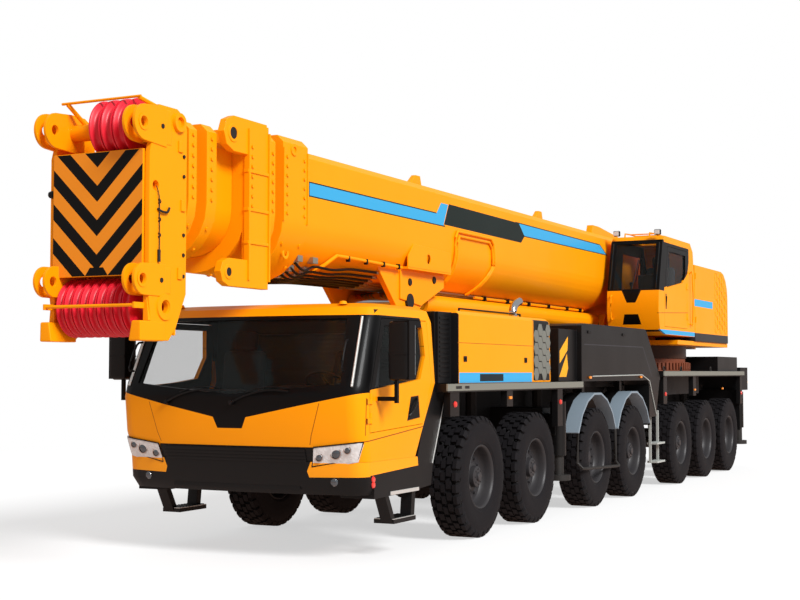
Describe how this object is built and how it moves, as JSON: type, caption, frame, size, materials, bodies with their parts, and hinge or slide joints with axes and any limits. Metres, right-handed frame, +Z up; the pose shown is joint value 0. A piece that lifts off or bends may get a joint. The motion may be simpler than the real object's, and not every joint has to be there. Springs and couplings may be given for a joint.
{
  "type": "mobile crane",
  "caption": "Seven-axle road-going telescopic crane in travel order, with a slewing superstructure, luffing and telescoping boom, outriggers, steering and doors.",
  "frame": {"origin": "on the ground under the middle of the crane's length and width", "axes": "the crane faces -Y, +X is its left side (the operator's side), +Z is up"},
  "size_m": [3.48, 18.3, 4.1],
  "materials": {
    "yellow_paint": "gloss machine yellow enamel",
    "dark_grey_paint": "satin dark grey enamel",
    "frame_paint": "satin grey chassis paint",
    "black_plastic": "black moulded plastic",
    "tyre_rubber": "black tyre rubber",
    "red_nylon": "red cast nylon",
    "dark_glass": "tinted safety glass",
    "cast_steel": "dark painted casting",
    "polished_rod": "chromed rod"
  },
  "bodies": {
    "carrier": {"chassis_frame": "frame_paint", "carrier_deck": "dark_grey_paint", "carrier_cab": "yellow_paint", "windscreen": "dark_glass", "front_bumper": "black_plastic", "engine_housing": "yellow_paint", "engine_block": "cast_steel", "mid_housing": "dark_grey_paint", "slew_ring": "cast_steel", "front_axles": "frame_paint", "middle_axles": "frame_paint", "rear_axles": "frame_paint"},
    "superstructure": {"superstructure_frame": "yellow_paint", "operator_cab": "yellow_paint", "left_machinery_housing": "yellow_paint", "right_machinery_housing": "yellow_paint"},
    "boom": {"boom_base": "yellow_paint"},
    "section_1": {"boom_section_1": "yellow_paint"},
    "section_2": {"boom_section_2": "yellow_paint"},
    "section_3": {"boom_section_3": "yellow_paint"},
    "section_4": {"boom_section_4": "yellow_paint"},
    "section_5": {"boom_section_5": "yellow_paint"},
    "luffing_barrel": {"luffing_barrels": "yellow_paint"},
    "luffing_rod": {"luffing_rods": "polished_rod"},
    "left_cab_door": {"left_cab_door": "yellow_paint"},
    "right_cab_door": {"right_cab_door": "yellow_paint"},
    "operator_door": {"operator_door": "yellow_paint"},
    "winch": {"winch_drum": "cast_steel"},
    "upper_sheaves": {"upper_sheaves": "red_nylon"},
    "lower_sheaves": {"lower_sheaves": "red_nylon"},
    "front_left_beam": {"front_left_outrigger_beam": "dark_grey_paint"},
    "front_left_jack": {"front_left_jack": "polished_rod"},
    "front_right_beam": {"front_right_outrigger_beam": "dark_grey_paint"},
    "front_right_jack": {"front_right_jack": "polished_rod"},
    "rear_left_beam": {"rear_left_outrigger_beam": "dark_grey_paint"},
    "rear_left_jack": {"rear_left_jack": "polished_rod"},
    "rear_right_beam": {"rear_right_outrigger_beam": "dark_grey_paint"},
    "rear_right_jack": {"rear_right_jack": "polished_rod"},
    "knuckle_1_left": {"knuckle_1_left": "cast_steel"},
    "knuckle_1_right": {"knuckle_1_right": "cast_steel"},
    "knuckle_2_left": {"knuckle_2_left": "cast_steel"},
    "knuckle_2_right": {"knuckle_2_right": "cast_steel"},
    "knuckle_6_left": {"knuckle_6_left": "cast_steel"},
    "knuckle_6_right": {"knuckle_6_right": "cast_steel"},
    "knuckle_7_left": {"knuckle_7_left": "cast_steel"},
    "knuckle_7_right": {"knuckle_7_right": "cast_steel"},
    "wheel_1_left": {"wheel_1_left": "tyre_rubber"},
    "wheel_1_right": {"wheel_1_right": "tyre_rubber"},
    "wheel_2_left": {"wheel_2_left": "tyre_rubber"},
    "wheel_2_right": {"wheel_2_right": "tyre_rubber"},
    "wheel_3_left": {"wheel_3_left": "tyre_rubber"},
    "wheel_3_right": {"wheel_3_right": "tyre_rubber"},
    "wheel_4_left": {"wheel_4_left": "tyre_rubber"},
    "wheel_4_right": {"wheel_4_right": "tyre_rubber"},
    "wheel_5_left": {"wheel_5_left": "tyre_rubber"},
    "wheel_5_right": {"wheel_5_right": "tyre_rubber"},
    "wheel_6_left": {"wheel_6_left": "tyre_rubber"},
    "wheel_6_right": {"wheel_6_right": "tyre_rubber"},
    "wheel_7_left": {"wheel_7_left": "tyre_rubber"},
    "wheel_7_right": {"wheel_7_right": "tyre_rubber"}
  },
  "joints": [
    {"name": "slew", "type": "hinge", "parent": "carrier", "child": "superstructure", "pos_m": [0, 5, 2.02], "axis": [0, 0, 1], "continuous": true},
    {"name": "luff", "type": "hinge", "parent": "superstructure", "child": "boom", "pos_m": [0, 6, 3.2], "axis": [-1, 0, 0], "range_deg": [0, 84]},
    {"name": "telescope_1", "type": "slide", "parent": "boom", "child": "section_1", "axis": [0, -1, 0], "range_m": [0, 11]},
    {"name": "telescope_2", "type": "slide", "parent": "section_1", "child": "section_2", "axis": [0, -1, 0], "range_m": [0, 11]},
    {"name": "telescope_3", "type": "slide", "parent": "section_2", "child": "section_3", "axis": [0, -1, 0], "range_m": [0, 11]},
    {"name": "telescope_4", "type": "slide", "parent": "section_3", "child": "section_4", "axis": [0, -1, 0], "range_m": [0, 11]},
    {"name": "telescope_5", "type": "slide", "parent": "section_4", "child": "section_5", "axis": [0, -1, 0], "range_m": [0, 11]},
    {"name": "barrel_swing", "type": "hinge", "parent": "superstructure", "child": "luffing_barrel", "pos_m": [0, 3.35, 2.6], "axis": [-1, 0, 0], "range_deg": [0, 95.9]},
    {"name": "rod_slide", "type": "slide", "parent": "luffing_barrel", "child": "luffing_rod", "axis": [0, -1, 0], "range_m": [0, 3.19]},
    {"name": "left_door_swing", "type": "hinge", "parent": "carrier", "child": "left_cab_door", "pos_m": [1.372, -6.65, 1.36], "axis": [0, 0, -1], "range_deg": [0, 70]},
    {"name": "right_door_swing", "type": "hinge", "parent": "carrier", "child": "right_cab_door", "pos_m": [-1.372, -6.65, 1.36], "axis": [0, 0, 1], "range_deg": [0, 70]},
    {"name": "operator_door_swing", "type": "hinge", "parent": "superstructure", "child": "operator_door", "pos_m": [1.445, 4.38, 2.7], "axis": [0, 0, 1], "range_deg": [0, 80]},
    {"name": "winch_turn", "type": "hinge", "parent": "superstructure", "child": "winch", "pos_m": [0, 7.25, 2.75], "axis": [1, 0, 0], "continuous": true},
    {"name": "upper_sheaves_turn", "type": "hinge", "parent": "section_5", "child": "upper_sheaves", "pos_m": [0, -8.76, 3.84], "axis": [1, 0, 0], "continuous": true},
    {"name": "lower_sheaves_turn", "type": "hinge", "parent": "section_5", "child": "lower_sheaves", "pos_m": [0, -8.75, 2.33], "axis": [1, 0, 0], "continuous": true},
    {"name": "front_left_beam_slide", "type": "slide", "parent": "carrier", "child": "front_left_beam", "axis": [1, 0, 0], "range_m": [0, 2]},
    {"name": "front_left_jack_slide", "type": "slide", "parent": "front_left_beam", "child": "front_left_jack", "axis": [0, 0, -1], "range_m": [0, 0.5]},
    {"name": "front_right_beam_slide", "type": "slide", "parent": "carrier", "child": "front_right_beam", "axis": [-1, 0, 0], "range_m": [0, 2]},
    {"name": "front_right_jack_slide", "type": "slide", "parent": "front_right_beam", "child": "front_right_jack", "axis": [0, 0, -1], "range_m": [0, 0.5]},
    {"name": "rear_left_beam_slide", "type": "slide", "parent": "carrier", "child": "rear_left_beam", "axis": [1, 0, 0], "range_m": [0, 2]},
    {"name": "rear_left_jack_slide", "type": "slide", "parent": "rear_left_beam", "child": "rear_left_jack", "axis": [0, 0, -1], "range_m": [0, 0.5]},
    {"name": "rear_right_beam_slide", "type": "slide", "parent": "carrier", "child": "rear_right_beam", "axis": [-1, 0, 0], "range_m": [0, 2]},
    {"name": "rear_right_jack_slide", "type": "slide", "parent": "rear_right_beam", "child": "rear_right_jack", "axis": [0, 0, -1], "range_m": [0, 0.5]},
    {"name": "steer_1_left", "type": "hinge", "parent": "carrier", "child": "knuckle_1_left", "pos_m": [1, -4.2, 0.65681], "axis": [0, 0, 1], "range_deg": [-30, 30]},
    {"name": "steer_1_right", "type": "hinge", "parent": "carrier", "child": "knuckle_1_right", "pos_m": [-1, -4.2, 0.65681], "axis": [0, 0, 1], "range_deg": [-30, 30]},
    {"name": "steer_2_left", "type": "hinge", "parent": "carrier", "child": "knuckle_2_left", "pos_m": [1, -2.55, 0.65681], "axis": [0, 0, 1], "range_deg": [-23.6, 23.6]},
    {"name": "steer_2_right", "type": "hinge", "parent": "carrier", "child": "knuckle_2_right", "pos_m": [-1, -2.55, 0.65681], "axis": [0, 0, 1], "range_deg": [-23.6, 23.6]},
    {"name": "steer_6_left", "type": "hinge", "parent": "carrier", "child": "knuckle_6_left", "pos_m": [1, 5.6, 0.65681], "axis": [0, 0, 1], "range_deg": [-16.4, 16.4]},
    {"name": "steer_6_right", "type": "hinge", "parent": "carrier", "child": "knuckle_6_right", "pos_m": [-1, 5.6, 0.65681], "axis": [0, 0, 1], "range_deg": [-16.4, 16.4]},
    {"name": "steer_7_left", "type": "hinge", "parent": "carrier", "child": "knuckle_7_left", "pos_m": [1, 7.25, 0.65681], "axis": [0, 0, 1], "range_deg": [-23.9, 23.9]},
    {"name": "steer_7_right", "type": "hinge", "parent": "carrier", "child": "knuckle_7_right", "pos_m": [-1, 7.25, 0.65681], "axis": [0, 0, 1], "range_deg": [-23.9, 23.9]},
    {"name": "wheel_1_left_turn", "type": "hinge", "parent": "knuckle_1_left", "child": "wheel_1_left", "pos_m": [1.2775, -4.2, 0.65681], "axis": [1, 0, 0], "continuous": true},
    {"name": "wheel_1_right_turn", "type": "hinge", "parent": "knuckle_1_right", "child": "wheel_1_right", "pos_m": [-1.2775, -4.2, 0.65681], "axis": [1, 0, 0], "continuous": true},
    {"name": "wheel_2_left_turn", "type": "hinge", "parent": "knuckle_2_left", "child": "wheel_2_left", "pos_m": [1.2775, -2.55, 0.65681], "axis": [1, 0, 0], "continuous": true},
    {"name": "wheel_2_right_turn", "type": "hinge", "parent": "knuckle_2_right", "child": "wheel_2_right", "pos_m": [-1.2775, -2.55, 0.65681], "axis": [1, 0, 0], "continuous": true},
    {"name": "wheel_3_left_turn", "type": "hinge", "parent": "carrier", "child": "wheel_3_left", "pos_m": [1.2775, -0.3, 0.65681], "axis": [1, 0, 0], "continuous": true},
    {"name": "wheel_3_right_turn", "type": "hinge", "parent": "carrier", "child": "wheel_3_right", "pos_m": [-1.2775, -0.3, 0.65681], "axis": [1, 0, 0], "continuous": true},
    {"name": "wheel_4_left_turn", "type": "hinge", "parent": "carrier", "child": "wheel_4_left", "pos_m": [1.2775, 1.35, 0.65681], "axis": [1, 0, 0], "continuous": true},
    {"name": "wheel_4_right_turn", "type": "hinge", "parent": "carrier", "child": "wheel_4_right", "pos_m": [-1.2775, 1.35, 0.65681], "axis": [1, 0, 0], "continuous": true},
    {"name": "wheel_5_left_turn", "type": "hinge", "parent": "carrier", "child": "wheel_5_left", "pos_m": [1.2775, 3.95, 0.65681], "axis": [1, 0, 0], "continuous": true},
    {"name": "wheel_5_right_turn", "type": "hinge", "parent": "carrier", "child": "wheel_5_right", "pos_m": [-1.2775, 3.95, 0.65681], "axis": [1, 0, 0], "continuous": true},
    {"name": "wheel_6_left_turn", "type": "hinge", "parent": "knuckle_6_left", "child": "wheel_6_left", "pos_m": [1.2775, 5.6, 0.65681], "axis": [1, 0, 0], "continuous": true},
    {"name": "wheel_6_right_turn", "type": "hinge", "parent": "knuckle_6_right", "child": "wheel_6_right", "pos_m": [-1.2775, 5.6, 0.65681], "axis": [1, 0, 0], "continuous": true},
    {"name": "wheel_7_left_turn", "type": "hinge", "parent": "knuckle_7_left", "child": "wheel_7_left", "pos_m": [1.2775, 7.25, 0.65681], "axis": [1, 0, 0], "continuous": true},
    {"name": "wheel_7_right_turn", "type": "hinge", "parent": "knuckle_7_right", "child": "wheel_7_right", "pos_m": [-1.2775, 7.25, 0.65681], "axis": [1, 0, 0], "continuous": true}
  ],
  "couplings": [
    {"joint": "barrel_swing", "follows": "luff", "ratio": 1.1381},
    {"joint": "rod_slide", "follows": "luff", "m_per_rad": 2.171},
    {"joint": "steer_1_right", "follows": "steer_1_left", "ratio": 1},
    {"joint": "steer_2_left", "follows": "steer_1_left", "ratio": 0.78},
    {"joint": "steer_2_right", "follows": "steer_1_left", "ratio": 0.78},
    {"joint": "steer_6_left", "follows": "steer_1_left", "ratio": -0.54},
    {"joint": "steer_6_right", "follows": "steer_1_left", "ratio": -0.54},
    {"joint": "steer_7_left", "follows": "steer_1_left", "ratio": -0.79},
    {"joint": "steer_7_right", "follows": "steer_1_left", "ratio": -0.79}
  ]
}
